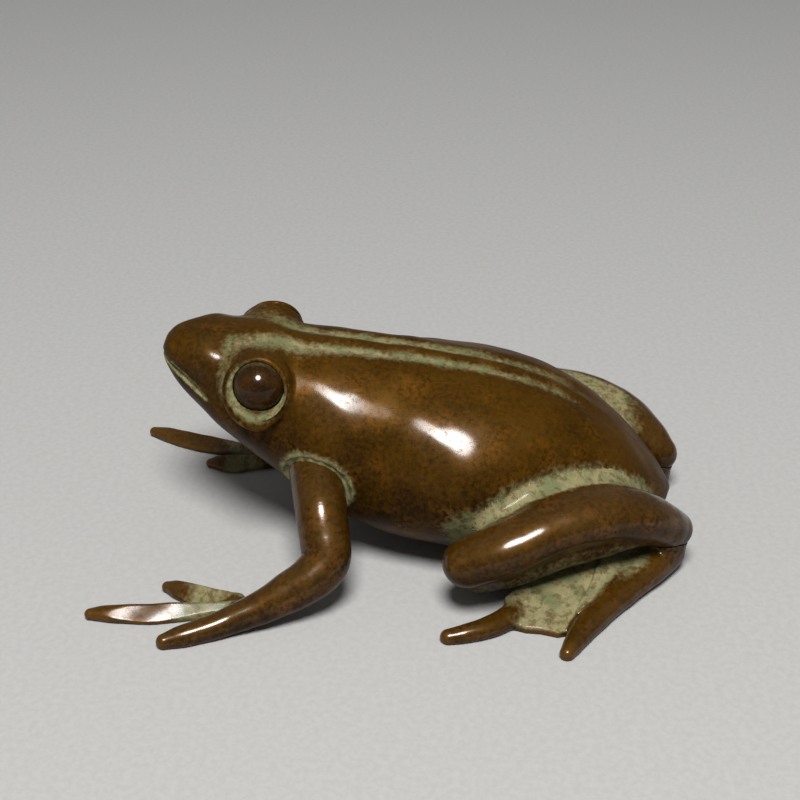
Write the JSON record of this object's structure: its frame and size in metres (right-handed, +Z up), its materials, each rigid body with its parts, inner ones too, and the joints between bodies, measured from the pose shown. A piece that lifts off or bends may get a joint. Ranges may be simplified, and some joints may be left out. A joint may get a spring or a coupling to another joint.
{
  "type": "frog figurine",
  "caption": "Small cast bronze frog ornament sitting up on splayed front legs, hind legs folded along its flanks, with webbed feet and inset eyes.",
  "frame": {"origin": "middle of the bounding box, at table height", "axes": "+Z up from the table, the frog faces -Y, +X is its left side"},
  "size_m": [0.0462, 0.0584, 0.0225],
  "materials": {
    "patinated_bronze": "waxed brown patina with verdigris in the recesses",
    "plate_bronze": "brown patina, filed flat",
    "eye_bronze": "polished dark brown patina",
    "pin_brass": "drawn wire, cut and filed"
  },
  "bodies": {
    "root": {"body_casting": "patinated_bronze", "belly_plate": "plate_bronze", "belly_plate_pins": "pin_brass", "left_eye": "eye_bronze", "left_front_leg": "patinated_bronze", "left_front_leg_pin": "pin_brass", "left_hind_leg": "patinated_bronze", "left_hind_leg_pin": "pin_brass", "left_hind_foot": "patinated_bronze", "right_eye": "eye_bronze", "right_front_leg": "patinated_bronze", "right_front_leg_pin": "pin_brass", "right_hind_leg": "patinated_bronze", "right_hind_leg_pin": "pin_brass", "right_hind_foot": "patinated_bronze"}
  },
  "joints": []
}
